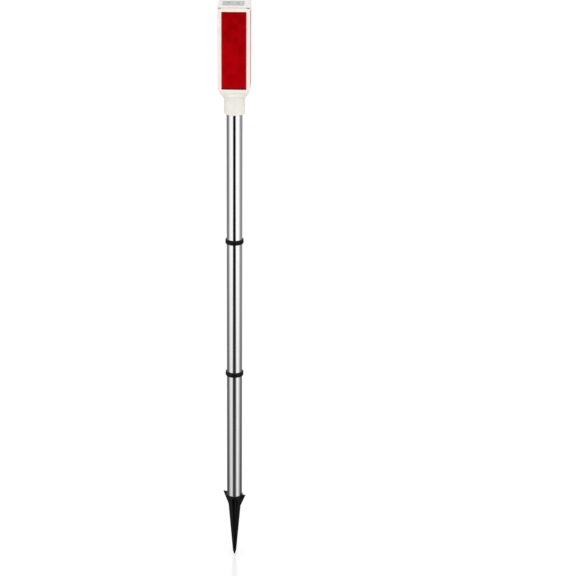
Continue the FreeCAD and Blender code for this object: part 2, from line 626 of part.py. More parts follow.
def make_screw(name, x, y, head_top):
    """A cross-recess screw, head downwards, whose shank stands up from head_top."""
    head = cylinder(f"{name}_head", "Dim.screw_head_radius", "Dim.screw_head_height", x, y,
                    f"{head_top} - Dim.screw_head_height")
    shank = cylinder(f"{name}_shank", "Dim.screw_radius", "Dim.screw_length", x, y, head_top)
    blank = fuse(f"{name}_blank", [head, shank])
    recess_z = f"{head_top} - Dim.screw_head_height"
    long_side, short_side, depth = "Dim.screw_radius * 2", "Dim.screw_recess", "Dim.screw_recess"
    cross = fuse(f"{name}_cross", [box(f"{name}_slot_x", (long_side, short_side, depth), x, y, recess_z),
                                   box(f"{name}_slot_y", (short_side, long_side, depth), x, y, recess_z)])
    return cut(name, blank, cross)


def make_screws(label, spots, head_top):
    screws = [make_screw(f"{label}_{number}", x, y, head_top) for number, (x, y) in enumerate(spots, start=1)]
    return finished(group(f"{label}_group", screws), label)


def make_board():
    """The circuit board, with holes for its four screws and for the battery's and the lamps' leads."""
    body = make_plate("circuit_board", BOARD_Z, "Dim.board_width", "Dim.board_thickness", "Dim.tray_corner")
    holes = new_sketch(body, "XY_Plane", "board_hole_section", "Dim.board_thickness")
    for x, y in spots_at(CORNERS, "Dim.post_place"):
        circle(holes, "Dim.screw_radius", x, y)
    feature(body, "Pocket", "board_holes", holes, "Dim.board_thickness")
    return finished(body, "circuit_board")


def make_components():
    """The parts soldered under the board: a driver chip, a choke, two capacitors and three resistors."""
    chip = box("driver_chip", ("Dim.chip_length", "Dim.chip_width", "Dim.chip_height"), "0", "Dim.chip_place",
               f"{BOARD_Z} - Dim.chip_height")
    choke = cylinder("choke", "Dim.choke_radius", "Dim.choke_height", "-Dim.chip_place", "0",
                     f"{BOARD_Z} - Dim.choke_height")
    pieces = [chip, choke]
    for hand, side in (("back", 1), ("front", -1)):
        pieces.append(cylinder(f"capacitor_{hand}", "Dim.capacitor_radius", "Dim.capacitor_height",
                               "Dim.chip_place", f"{side} * Dim.capacitor_place",
                               f"{BOARD_Z} - Dim.capacitor_height"))
    for number in range(3):
        pieces.append(box(f"resistor_{number + 1}", ("Dim.resistor_width", "Dim.resistor_length",
                                                     "Dim.resistor_height"),
                          f"({number} - 1) * Dim.resistor_pitch - Dim.chip_place", "Dim.chip_place",
                          f"{BOARD_Z} - Dim.resistor_height"))
    return finished(group("component_group", pieces), "circuit_components")


def make_lamp(name, turn):
    """One lamp lying on its side: a domed body with a flange, and two legs bent down to the board."""
    barrel_length = "(Dim.led_length - Dim.led_radius)"
    lying = FreeCAD.Rotation(FreeCAD.Vector(0, 1, 0), 90)
    axis_z = f"{BOARD_TOP_Z} + Dim.led_height"
    barrel = cylinder(f"{name}_barrel", "Dim.led_radius", barrel_length, "Dim.led_place")
    flange = cylinder(f"{name}_flange", "Dim.led_flange", "Dim.led_rim", "Dim.led_place")
    dome = doc.addObject("Part::Sphere", f"{name}_dome")
    dome.setExpression("Radius", "Dim.led_radius")
    place(dome, f"Dim.led_place + {barrel_length}")
    for piece in (barrel, flange):
        piece.Placement.Rotation = lying
    pieces = [barrel, flange, dome]
    for hand, side in (("left", 1), ("right", -1)):
        y = f"{side} * Dim.led_leg_gap / 2"
        pieces.append(box(f"{name}_{hand}_leg", ("Dim.led_bend", "Dim.led_leg", "Dim.led_leg"),
                          "Dim.led_place - Dim.led_bend / 2", y, "-Dim.led_leg / 2"))
        pieces.append(box(f"{name}_{hand}_foot", ("Dim.led_leg", "Dim.led_leg", "Dim.led_height"),
                          "Dim.led_place - Dim.led_bend + Dim.led_leg / 2", y, "-Dim.led_height"))
    return place(fuse(name, pieces), z=axis_z, turn=turn)


def make_battery():
    """A small rechargeable cell standing on its spring, button upwards."""
    body = body_of("battery", BATTERY_Z)
    profile = new_sketch(body, "XZ_Plane", "battery_profile")
    top = "(Dim.cell_length + Dim.cell_button)"
    outline(profile, [
        ("0", "0"), ("Dim.cell_radius - Dim.holder_gap", "0"), ("Dim.cell_radius", "Dim.holder_gap"),
        ("Dim.cell_radius", "Dim.cell_length - Dim.holder_gap"),
        ("Dim.cell_radius - Dim.holder_gap", "Dim.cell_length"),
        ("Dim.cell_button_radius", "Dim.cell_length"),
        ("Dim.cell_button_radius", top), ("0", top),
    ])
    revolve(body, "battery_turned", profile)
    return finished(body, "battery")


def make_holder():
    """The battery holder: a box open towards the front, hanging under the tray."""
    outside = box("holder_outside", ("Dim.holder_width", "Dim.holder_width", "Dim.holder_length"), z=HOLDER_Z)
    bay_width = "(Dim.holder_width - 2 * Dim.holder_wall)"
    bay = box("holder_bay", (bay_width, "Dim.holder_width", "Dim.holder_length - 2 * Dim.holder_wall"),
              y="-Dim.holder_wall", z=f"{HOLDER_Z} + Dim.holder_wall")
    return finished(cut("holder_cut", outside, bay), "battery_holder")


def make_spring():
    """The bent leaf spring under the battery: a flat foot, a rising leaf and a flat seat."""
    body = body_of("battery_spring", f"{HOLDER_Z} + Dim.holder_wall")
    leaf = new_sketch(body, "XZ_Plane", "spring_outline")
    half, thick, high = "Dim.contact_width / 2", "Dim.contact_thickness", "Dim.spring_height"
    seat = f"({high} - {thick})"
    seat_end = f"-{half} + Dim.spring_seat_inset"
    outline(leaf, [
        (half, "0"), (half, thick), (f"-{half} + Dim.spring_foot", thick), (half, seat), (half, high),
        (seat_end, high), (seat_end, seat), (f"{half} - Dim.spring_knee", seat), (f"-{half}", thick),
        (f"-{half}", "0"),
    ])
    feature(body, "Pad", "spring_strip", leaf, "Dim.spring_strip", Midplane=True)
    return finished(body, "battery_spring")


def make_contact():
    """The plate that the battery's button presses against."""
    z = f"{BATTERY_Z} + Dim.cell_length + Dim.cell_button"
    size = ("Dim.contact_width", "Dim.contact_width", "Dim.contact_thickness")
    return finished(box("contact_plate", size, z=z), "battery_contact")


def make_switch():
    """The slide switch under the board, and its knob in the middle of its slot's near half."""
    size = ("Dim.switch_length", "Dim.switch_width", "Dim.switch_height")
    case = box("switch_case", size, "0", "Dim.switch_place", f"{BOARD_Z} - Dim.switch_height")
    slot_size = ("Dim.knob_slot", "Dim.knob_width + 2 * Dim.reflector_gap", "Dim.knob_root")
    slot = box("switch_slot", slot_size, "0", "Dim.switch_place", f"{BOARD_Z} - Dim.switch_height")
    finished(cut("switch_cut", case, slot), "switch_body")
    knob_x = "(Dim.knob_length + 2 * Dim.reflector_gap - Dim.knob_slot) / 2"
    knob_top = f"({BOARD_Z} - Dim.switch_height + Dim.knob_root - Dim.reflector_gap)"
    knob = box("knob_block", ("Dim.knob_length", "Dim.knob_width", "Dim.knob_height"), knob_x,
               "Dim.switch_place", f"{knob_top} - Dim.knob_height")
    finished(knob, "switch_knob")


def make_leads():
    """Insulated leads: two from the solar cell down to the board, and two from the battery's ends."""
    solar_length = f"{RECESS_Z} - {BOARD_TOP_Z}"
    solar = [cylinder(f"solar_lead_{hand}", "Dim.wire_radius", solar_length, f"{side} * Dim.wire_place",
                      WIRE_Y, BOARD_TOP_Z) for hand, side in (("right", 1), ("left", -1))]
    finished(group("solar_lead_group", solar), "solar_leads")
    beside = "(Dim.holder_width / 2 + Dim.wire_radius + Dim.reflector_gap)"
    battery = [
        cylinder("battery_lead_top", "Dim.wire_radius", f"{TRAY_Z} - {BOARD_TOP_Z}", "-Dim.contact_width / 2",
                 beside, BOARD_TOP_Z),
        cylinder("battery_lead_bottom", "Dim.wire_radius", f"{HOLDER_Z} - {BOARD_TOP_Z}",
                 "Dim.contact_width / 4", "0", BOARD_TOP_Z),
    ]
    finished(group("battery_lead_group", battery), "battery_leads")


# ---------------------------------------------------------------- the marker

make_spike()
make_tube("pole_lower", POLE_LOWER_Z)
make_coupler("coupler_lower", f"({POLE_MIDDLE_Z} - Dim.flange_height)")
make_tube("pole_middle", POLE_MIDDLE_Z)
make_coupler("coupler_upper", f"({POLE_UPPER_Z} - Dim.flange_height)")
make_tube("pole_upper", POLE_UPPER_Z)
make_collar()
make_housing()
for side_name, quarter in zip(("front", "right", "back", "left"), QUARTERS):
    make_reflector(f"reflector_{side_name}", quarter)
make_gasket()
make_cap()
finished(make_plate("solar_cell", RECESS_Z, "Dim.cell_width", "Dim.cell_thickness", "Dim.window_corner",
                    "-Dim.cell_offset"), "solar_cell")
finished(make_plate("cell_cover", f"{RECESS_Z} + Dim.cell_thickness", "Dim.cell_width",
                    "Dim.glazing_thickness", "Dim.window_corner", "-Dim.cell_offset"), "cell_cover")
make_tray()
make_screws("tray_screws", spots_at(SIDES, "Dim.boss_place"), TRAY_Z)
make_board()
make_screws("board_screws", spots_at(CORNERS, "Dim.post_place"), BOARD_Z)
make_components()
lamps = [make_lamp(f"lamp_{side_name}", quarter)
         for side_name, quarter in zip(("right", "back", "left", "front"), QUARTERS)]
finished(group("lamp_group", lamps), "leds")
make_holder()
make_battery()
make_spring()
make_contact()
make_switch()
make_leads()
doc.recompute()

# ---------------------------------------------------------------- checks and export

failed = [item.Name for item in doc.Objects if {"Invalid", "Error"} & set(item.State)]
if failed:
    raise SystemExit(f"objects that did not recompute: {failed}")
labels = [part.Label for part in parts]
if len(labels) != len(set(labels)):
    raise SystemExit("two sub-parts share a label")
for part in parts:
    shape = part.Shape
    if shape.isNull() or not shape.isValid() or not shape.Solids:
        raise SystemExit(f"{part.Label} has no valid solid")

os.makedirs("parts", exist_ok=True)
for part in parts:
    part.Shape.exportStep(f"parts/{part.Label}.step")
    limits = part.Shape.BoundBox
    print(f"{part.Label:20} {len(part.Shape.Solids)} solids, volume {part.Shape.Volume / 1000:8.3f} cm3, "
          f"z {limits.ZMin:8.2f} to {limits.ZMax:8.2f}")
print(f"{len(parts)} sub-parts")
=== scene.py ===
import math

import bmesh
import bpy
from mathutils import Matrix, Vector


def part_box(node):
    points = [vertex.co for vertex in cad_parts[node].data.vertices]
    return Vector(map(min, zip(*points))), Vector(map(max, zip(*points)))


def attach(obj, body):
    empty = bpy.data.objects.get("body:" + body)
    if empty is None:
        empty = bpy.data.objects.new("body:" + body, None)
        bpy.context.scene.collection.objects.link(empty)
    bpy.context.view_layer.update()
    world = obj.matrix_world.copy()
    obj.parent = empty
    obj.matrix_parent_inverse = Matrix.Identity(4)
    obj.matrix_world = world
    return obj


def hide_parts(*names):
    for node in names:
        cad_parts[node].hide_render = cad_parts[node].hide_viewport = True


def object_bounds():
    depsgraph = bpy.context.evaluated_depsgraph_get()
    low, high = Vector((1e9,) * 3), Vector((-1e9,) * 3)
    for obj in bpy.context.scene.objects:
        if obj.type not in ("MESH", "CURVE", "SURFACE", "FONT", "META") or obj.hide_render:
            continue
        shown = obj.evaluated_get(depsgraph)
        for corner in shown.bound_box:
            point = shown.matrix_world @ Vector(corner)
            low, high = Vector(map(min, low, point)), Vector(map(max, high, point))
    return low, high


# The looks of a solar driveway marker: red reflector panels in a white head, a polished sectional
# pole with black couplers, and a black finned ground spike. Metres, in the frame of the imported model.

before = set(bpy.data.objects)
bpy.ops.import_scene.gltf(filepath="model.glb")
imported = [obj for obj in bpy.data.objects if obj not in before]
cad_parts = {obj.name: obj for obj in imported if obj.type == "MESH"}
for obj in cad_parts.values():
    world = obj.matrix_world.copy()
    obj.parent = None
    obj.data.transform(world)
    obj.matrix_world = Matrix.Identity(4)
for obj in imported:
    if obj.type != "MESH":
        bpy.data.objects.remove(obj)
cad_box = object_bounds()

MM = 0.001

# ---------------------------------------------------------------- camera, light and floor

VIEW_AZIMUTH = math.radians(2.4)
VIEW_ELEVATION = math.radians(21)
VIEW_DISTANCE = 2.921        # metres from the camera to the point on the pole it looks at
AIM_HEIGHT = 0.3736          # height of that point
LENS = 112.5                 # focal length in mm
SHIFT_X = 0.0928             # how much of its width the picture is moved to the right
FARTHEST = 100               # metres at which the camera's sight ends


def make_camera():
    """A long lens, a little above and to the right of the head's front."""
    data = bpy.data.cameras.new("camera")
    camera = bpy.data.objects.new("camera", data)
    bpy.context.collection.objects.link(camera)
    back = Vector((math.sin(VIEW_AZIMUTH) * math.cos(VIEW_ELEVATION),
                   -math.cos(VIEW_AZIMUTH) * math.cos(VIEW_ELEVATION), math.sin(VIEW_ELEVATION)))
    camera.location = Vector((0, 0, AIM_HEIGHT)) + back * VIEW_DISTANCE
    camera.rotation_euler = (-back).to_track_quat("-Z", "Y").to_euler()
    data.lens = LENS
    data.shift_x = SHIFT_X
    data.clip_end = FARTHEST
    bpy.context.scene.camera = camera


class Graph:
    """Adds nodes to a node tree and joins them, so that a material reads as a list of steps."""

    def __init__(self, tree):
        self.tree = tree

    def add(self, kind, inputs=None, **settings):
        """A node whose inputs are numbers, colours or other nodes' outputs."""
        node = self.tree.nodes.new(kind)
        for name, setting in settings.items():
            setattr(node, name, setting)
        for name, source in (inputs or {}).items():
            if isinstance(source, bpy.types.NodeSocket):
                self.tree.links.new(source, node.inputs[name])
            else:
                node.inputs[name].default_value = source
        return node

    def math(self, operation, first, second=0.0):
        """The result of one sum."""
        return self.add("ShaderNodeMath", {0: first, 1: second}, operation=operation).outputs[0]

    def ramp(self, value, low, high, to_low=0.0, to_high=1.0, smooth=True):
        """A number that goes from to_low to to_high as value goes from low to high."""
        node = self.add("ShaderNodeMapRange", {"Value": value, "From Min": low, "From Max": high,
                                               "To Min": to_low, "To Max": to_high})
        node.interpolation_type = "SMOOTHSTEP" if smooth else "LINEAR"
        return node.outputs["Result"]

    def blend(self, factor, first, second):
        """A number that goes from first to second as factor goes from 0 to 1."""
        node = self.add("ShaderNodeMapRange", {"Value": factor, "To Min": first, "To Max": second})
        return node.outputs["Result"]

    def mix(self, factor, first, second):
        """A colour that goes from first to second as factor goes from 0 to 1."""
        node = self.add("ShaderNodeMix", data_type="RGBA")
        for socket, source in ((node.inputs[0], factor), (node.inputs[6], first), (node.inputs[7], second)):
            if isinstance(source, bpy.types.NodeSocket):
                self.tree.links.new(source, socket)
            else:
                socket.default_value = source
        return node.outputs[2]


STUDIO_TURN = math.radians(-2.4)     # how far the studio's middle is to the right of the view
HALVES_MEET = (-0.2, 0.2)    # radians over which the studio's left half passes into its right
DIMMING = (-20, -28)         # degrees below the horizon over which the studio grows dim
WIDENING = (-18, -25)        # degrees below the horizon over which the gap between the boxes widens
CEILING = (-4, 3)            # degrees above the horizon where the overhead light begins
CEILING_BRIGHT = 0.93
# Each pair from here to RIGHT_ROOM is a value in the upper studio and one in the lower.
GAP_OPENS = (14.5, 16)       # degrees from the studio's middle, here and in the next three
GAP_OPEN = (24.5, 38)
BOX_FADES = (58, 46)
BOX_ENDS = (101, 104)
GAP_DARK = (0.008, 0.07)
LEFT_BOX, RIGHT_BOX = (1.1, 0.76), (1.16, 0.86)
LEFT_ROOM, RIGHT_ROOM = (0.22, 0.06), (0.31, 0.08)
REAR_BOX = (148, 168)        # degrees from the studio's middle where a box behind the marker begins
REAR_BRIGHT = 0.95

LIGHT_DISTANCE = 2.2         # metres from the marker to each soft light
LIGHT_SIZE = 1.6
FLOOR_SIZE = 12


def make_world():
    """A round studio, seen in reflections only.

    Two tall soft boxes stand beside the camera, with a dark gap between them. A dim room lies beyond
    them, another soft box stands far behind the marker, and the ceiling is bright. The camera sees
    white.
    """
    world = bpy.data.worlds.new("studio")
    world.use_nodes = True
    tree = world.node_tree
    tree.nodes.clear()
    graph = Graph(tree)
    direction = graph.add("ShaderNodeTexCoord").outputs["Generated"]
    turned = graph.add("ShaderNodeVectorRotate", {"Vector": direction, "Axis": (0, 0, 1),
                                                  "Angle": -VIEW_AZIMUTH - STUDIO_TURN})
    spot = graph.add("ShaderNodeSeparateXYZ", {0: turned.outputs[0]})
    x, y, z = spot.outputs
    turn = graph.math("ARCTAN2", x, graph.math("MULTIPLY", y, -1.0))
    away = graph.math("DEGREES", graph.math("ABSOLUTE", turn))
    height = graph.math("DEGREES", graph.math("ARCSINE", z))
    dim = graph.ramp(height, *DIMMING, smooth=False)
    wide = graph.ramp(height, *WIDENING, smooth=False)
    right = graph.ramp(turn, *HALVES_MEET)
    boxes = graph.blend(right, graph.blend(dim, *LEFT_BOX), graph.blend(dim, *RIGHT_BOX))
    room = graph.blend(right, graph.blend(dim, *LEFT_ROOM), graph.blend(dim, *RIGHT_ROOM))
    opening = graph.ramp(away, graph.blend(wide, *GAP_OPENS), graph.blend(wide, *GAP_OPEN))
    behind = graph.ramp(away, graph.blend(dim, *BOX_FADES), graph.blend(dim, *BOX_ENDS))
    level = graph.blend(behind, graph.blend(opening, graph.blend(dim, *GAP_DARK), boxes), room)
    level = graph.blend(graph.ramp(away, *REAR_BOX), level, REAR_BRIGHT)
    grey = graph.add("ShaderNodeCombineColor", {0: level, 1: level, 2: level}).outputs[0]
    colour = graph.mix(graph.ramp(height, *CEILING), grey, (CEILING_BRIGHT,) * 3 + (1,))
    rays = graph.add("ShaderNodeLightPath")
    seen = graph.add("ShaderNodeBackground", {"Color": (1, 1, 1, 1), "Strength": 1.0})
    studio = graph.add("ShaderNodeBackground", {"Color": colour, "Strength": 1.0})
    shader = graph.add("ShaderNodeMixShader", {0: rays.outputs["Is Camera Ray"], 1: studio.outputs[0],
                                               2: seen.outputs[0]})
    graph.add("ShaderNodeOutputWorld", {"Surface": shader.outputs[0]})
    bpy.context.scene.world = world


def make_light(name, azimuth, elevation, power):
    """A square soft light aimed at the middle of the marker. It shows in no reflection."""
    data = bpy.data.lights.new(name, "AREA")
    data.shape = "SQUARE"
    data.size = LIGHT_SIZE
    data.energy = power
    light = bpy.data.objects.new(name, data)
    bpy.context.collection.objects.link(light)
    turn, lift = math.radians(azimuth), math.radians(elevation)
    out = Vector((math.sin(turn) * math.cos(lift), -math.cos(turn) * math.cos(lift), math.sin(lift)))
    light.location = Vector((0, 0, AIM_HEIGHT)) + out * LIGHT_DISTANCE
    light.rotation_euler = (-out).to_track_quat("-Z", "Y").to_euler()
    light.visible_glossy = False


def make_floor():
    """A plain white floor under the spike's point. Polished metal doesn't mirror it."""
    bpy.ops.mesh.primitive_plane_add(size=FLOOR_SIZE, location=(0, 0, cad_box[0].z))
    floor = bpy.context.object
    floor.name = "floor"
    floor.visible_glossy = False
    material, _, shader = new_material("floor_white", (0.9, 0.9, 0.9), 0.12, Specular_IOR_Level=1.0)
    set_inputs(shader, {"Emission Color": (1, 1, 1, 1), "Emission Strength": 0.14})
    floor.data.materials.append(material)


# ---------------------------------------------------------------- materials


def set_inputs(node, values):
    """Sets several of a node's inputs by their names."""
    for name, value in values.items():
        node.inputs[name].default_value = value


def new_material(name, colour, roughness, **inputs):
    """A material with one Principled shader; gives the material, its graph and the shader."""
    material = bpy.data.materials.new(name)
    material.use_nodes = True
    tree = material.node_tree
    shader = next(node for node in tree.nodes if node.type == "BSDF_PRINCIPLED")
    set_inputs(shader, {"Base Color": (*colour, 1), "Roughness": roughness})
    set_inputs(shader, {name.replace("_", " "): value for name, value in inputs.items()})
    return material, Graph(tree), shader


def place_of(graph, scale=(1, 1, 1)):
    """The surface's place in the object's own frame, stretched by scale."""
    spot = graph.add("ShaderNodeTexCoord").outputs["Object"]
    return graph.add("ShaderNodeMapping", {"Vector": spot, "Scale": scale}).outputs[0]


def noise_at(graph, spot, scale, detail=2.0, roughness=0.5):
    """A soft random value at a place."""
    return graph.add("ShaderNodeTexNoise", {"Vector": spot, "Scale": scale, "Detail": detail,
                                            "Roughness": roughness}).outputs["Fac"]


def add_bump(graph, shader, height, strength, distance):
    """A surface relief that follows height."""
    bump = graph.add("ShaderNodeBump", {"Height": height, "Strength": strength, "Distance": distance})
    graph.tree.links.new(bump.outputs[0], shader.inputs["Normal"])


def link(graph, source, node, name):
    """Joins an output to a node's input of this name."""
    graph.tree.links.new(source, node.inputs[name])


def moulded(name, colour, roughness, grain, variation=0.04, **inputs):
    """Moulded plastic: a fine grain, faint flow marks and a roughness that wanders a little."""
    material, graph, shader = new_material(name, colour, roughness, **inputs)
    spot = place_of(graph)
    flow = noise_at(graph, spot, 60, 3)
    darker = tuple(channel * (1 - variation) for channel in colour)
    link(graph, graph.mix(graph.ramp(flow, 0.35, 0.65), (*darker, 1), (*colour, 1)), shader, "Base Color")
    patches = noise_at(graph, spot, 140, 2)
    link(graph, graph.ramp(patches, 0.3, 0.7, roughness * 0.85, roughness * 1.2), shader, "Roughness")
    add_bump(graph, shader, noise_at(graph, spot, 2600, 2), grain, 0.02 * MM)
    return material


def polished_metal():
    """Polished stainless tube: hairline drawing marks along the tube and fine polishing rings."""
    material, graph, shader = new_material("polished_tube", (0.86, 0.86, 0.86), 0.07, Metallic=1.0)
    along = noise_at(graph, place_of(graph, (1, 1, 0.02)), 2400, 2)
    round_it = noise_at(graph, place_of(graph, (1, 1, 40)), 60, 2)
    smears = noise_at(graph, place_of(graph), 45, 3)
    rough = graph.ramp(smears, 0.3, 0.75, 0.05, 0.11)
    link(graph, rough, shader, "Roughness")
    marks = graph.math("ADD", graph.math("MULTIPLY", along, 0.5), round_it)
    add_bump(graph, shader, marks, 0.05, 0.01 * MM)
    tone = graph.mix(graph.ramp(along, 0.3, 0.7), (0.82, 0.82, 0.82, 1), (0.88, 0.88, 0.88, 1))
    link(graph, tone, shader, "Base Color")
    return material


TILE = (8.8, 9.8)            # width and height in mm of the reflector's patches of prisms
PAINTED_FOOT_SHADE = (1.6, 2.1)       # height in mm over which the painted shade along the reflector's foot ends
PAINTED_HEAD_SHADE = (0.9, 1.6)       # the same below its upper edge, where the painted shade is only a little darker


def painted_edge_shade(graph, colour):
    """The reflector's colour with painted shade where the recess shades it: dark along its foot and a little
    dark along its head.
    """
    low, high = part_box("reflector_front")
    height = graph.add("ShaderNodeSeparateXYZ", {0: place_of(graph)}).outputs[2]
    foot = graph.ramp(height, *(low.z + edge * MM for edge in PAINTED_FOOT_SHADE))
    head = graph.ramp(height, *(high.z - edge * MM for edge in PAINTED_HEAD_SHADE))
    # Painted shade: near-black along the panel's foot and dark red along its head.
    return graph.mix(foot, (0.012, 0.0005, 0.0005, 1), graph.mix(head, (0.2, 0.003, 0.005, 1), colour))


def flat_side_normal(graph):
    """The head's own side direction at a place, whatever the small facets there do."""
    spot = graph.add("ShaderNodeSeparateXYZ", {0: place_of(graph)})
    x, y, _ = spot.outputs
    along_x = graph.math("GREATER_THAN", graph.math("ABSOLUTE", x), graph.math("ABSOLUTE", y))
    along_y = graph.math("SUBTRACT", 1.0, along_x)
    facing = graph.add("ShaderNodeCombineXYZ", {0: graph.math("MULTIPLY", graph.math("SIGN", x), along_x),
                                                1: graph.math("MULTIPLY", graph.math("SIGN", y), along_y)})
    return graph.add("ShaderNodeVectorTransform", {0: facing.outputs[0]}, vector_type="NORMAL",
                     convert_from="OBJECT", convert_to="WORLD").outputs[0]


def red_reflector():
    """Red acrylic: patches of prisms in slightly different reds, seen through a flat clear face."""
    material, graph, shader = new_material("red_reflector", (0.35, 0.0, 0.002), 0.35, Coat_Weight=1.0,
                                           Coat_Roughness=0.03, Specular_IOR_Level=0.0)
    spot = graph.add("ShaderNodeSeparateXYZ", {0: place_of(graph)})
    x, y, z = spot.outputs
    across = graph.math("DIVIDE", graph.math("ADD", x, y), TILE[0] * MM)
    up = graph.math("DIVIDE", z, TILE[1] * MM)
    tile = graph.add("ShaderNodeCombineXYZ", {0: graph.math("FLOOR", across), 1: graph.math("FLOOR", up)})
    chance = graph.add("ShaderNodeTexWhiteNoise", {"Vector": tile.outputs[0]}).outputs["Value"]
    cloud = noise_at(graph, place_of(graph), 55, 3)
    tone = graph.math("ADD", graph.math("MULTIPLY", chance, 0.35), graph.math("MULTIPLY", cloud, 0.8))
    low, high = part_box("reflector_front")
    # Painted shading: the red grows lighter towards the panel's foot and a little darker towards its head.
    tone = graph.math("ADD", tone, graph.ramp(z, low.z, high.z, 0.3, -0.06, smooth=False))
    colour = graph.mix(graph.ramp(tone, 0.2, 1.05), (0.27, 0.0, 0.001, 1), (0.41, 0.0005, 0.003, 1))
    # Painted shade along the panel's foot and head, where the recess shades it.
    link(graph, painted_edge_shade(graph, colour), shader, "Base Color")
    link(graph, flat_side_normal(graph), shader, "Coat Normal")
    return material


def rim_material():
    """The reflector's welded rim, a slightly paler red."""
    material, graph, shader = new_material("reflector_rim", (0.4, 0.012, 0.018), 0.25, Coat_Weight=0.6,
                                           Coat_Roughness=0.08, Specular_IOR_Level=0.2)
    cloud = noise_at(graph, place_of(graph), 90, 2)
    colour = graph.mix(cloud, (0.4, 0.014, 0.018, 1), (0.48, 0.022, 0.026, 1))
    # Painted shade along the rim's foot and head, where the recess shades it.
    link(graph, painted_edge_shade(graph, colour), shader, "Base Color")
    return material


def solar_silicon():
    """Polycrystalline silicon: blue-grey grains with a faint tilt from one to the next."""
    material, graph, shader = new_material("solar_silicon", (0.2, 0.21, 0.23), 0.25, Coat_Weight=0.8,
                                           Coat_Roughness=0.05)
    cells = graph.add("ShaderNodeTexVoronoi", {"Vector": place_of(graph), "Scale": 420})
    colour = graph.mix(cells.outputs["Distance"], (0.2, 0.2, 0.215, 1), (0.15, 0.155, 0.18, 1))
    link(graph, colour, shader, "Base Color")
    return material


def print_ink():
    """Silver contact ink on the solar cell."""
    material, graph, shader = new_material("contact_ink", (0.62, 0.62, 0.64), 0.4, Metallic=0.6)
    add_bump(graph, shader, noise_at(graph, place_of(graph), 3000), 0.2, 0.02 * MM)
    return material


def clear_plastic():
    """Clear cover with the faintest ripple."""
    material, graph, shader = new_material("clear_cover", (0.97, 0.98, 0.98), 0.06,
                                           Transmission_Weight=1.0, IOR=1.45)
    add_bump(graph, shader, noise_at(graph, place_of(graph), 300), 0.05, 0.05 * MM)
    return material


def circuit_material():
    """Green solder mask with a maze of copper tracks under it."""
    material, graph, shader = new_material("solder_mask", (0.01, 0.12, 0.04), 0.3, Coat_Weight=0.4)
    tracks = graph.add("ShaderNodeTexBrick", {"Vector": place_of(graph), "Scale": 260.0,
                                              "Mortar Size": 0.03, "Color1": (0.008, 0.1, 0.035, 1),
                                              "Color2": (0.01, 0.13, 0.045, 1),
                                              "Mortar": (0.03, 0.26, 0.09, 1)})
    link(graph, tracks.outputs["Color"], shader, "Base Color")
    add_bump(graph, shader, tracks.outputs["Fac"], 0.2, 0.03 * MM)
    return material


def plated_metal():
    """Nickel-plated steel with fine brushing."""
    material, graph, shader = new_material("plated_steel", (0.72, 0.71, 0.69), 0.25, Metallic=1.0)
    brushing = noise_at(graph, place_of(graph, (1, 1, 30)), 900, 2)
    link(graph, graph.ramp(brushing, 0.3, 0.7, 0.2, 0.35), shader, "Roughness")
    add_bump(graph, shader, brushing, 0.1, 0.02 * MM)
    return material


SILVER_BAND = 6 * MM         # how much of the cell's button end the silver band covers


def battery_wrap():
    """Shrink-wrapped cell: a green sleeve with a plain silver band at the button end."""
    material, graph, shader = new_material("battery_wrap", (0.02, 0.16, 0.06), 0.25, Coat_Weight=0.5)
    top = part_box("battery")[1].z
    height = graph.add("ShaderNodeSeparateXYZ", {0: place_of(graph)}).outputs[2]
    band = graph.math("GREATER_THAN", height, top - SILVER_BAND)
    link(graph, graph.mix(band, (0.02, 0.16, 0.06, 1), (0.55, 0.55, 0.55, 1)), shader, "Base Color")
    add_bump(graph, shader, noise_at(graph, place_of(graph), 500), 0.1, 0.03 * MM)
    return material


def lamp_plastic():
    """Clear epoxy of the lamps, a little milky."""
    material, graph, shader = new_material("lamp_epoxy", (0.92, 0.92, 0.86), 0.12,
                                           Transmission_Weight=0.6, IOR=1.5)
    add_bump(graph, shader, noise_at(graph, place_of(graph), 700), 0.05, 0.02 * MM)
    return material


# ---------------------------------------------------------------- mesh helpers


def new_piece(name, bm, material, body, smooth_angle=35):
    """A mesh object from bm, shaded smooth except at edges sharper than smooth_angle."""
    bmesh.ops.recalc_face_normals(bm, faces=bm.faces)
    mesh = bpy.data.meshes.new(name)
    bm.to_mesh(mesh)
    bm.free()
    mesh.shade_smooth()
    mesh.set_sharp_from_angle(angle=math.radians(smooth_angle))
    piece = bpy.data.objects.new(name, mesh)
    bpy.context.collection.objects.link(piece)
    for item in material if isinstance(material, list) else [material]:
        mesh.materials.append(item)
    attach(piece, body)
    return piece


def lathe(bm, profile, segments=160):
    """Turns a closed profile of (radius, height) points about the pole's axis."""
    rings = []
    for step in range(segments):
        turn = 2 * math.pi * step / segments
        rings.append([bm.verts.new((radius * math.cos(turn), radius * math.sin(turn), height))
                      for radius, height in profile])
    for ring, following in zip(rings, rings[1:] + rings[:1]):
        for spot in range(len(profile)):
            bm.faces.new((ring[spot], following[spot], following[spot - 1], ring[spot - 1]))


def quarter_round(centre, radius, start, steps=5):
    """Points of a quarter circle, counterclockwise from start degrees."""
    turns = [math.radians(start + 90 * step / steps) for step in range(steps + 1)]
    return [(centre[0] + radius * math.cos(turn), centre[1] + radius * math.sin(turn)) for turn in turns]


SAME_POINT = 0.002 * MM                  # the mesh points nearer than this become one
FLAT = math.radians(0.5)                 # faces that meet at less than this become one
SHARP = math.radians(30)                 # edges that turn more than this are rounded
ROUNDING_STEPS = 3


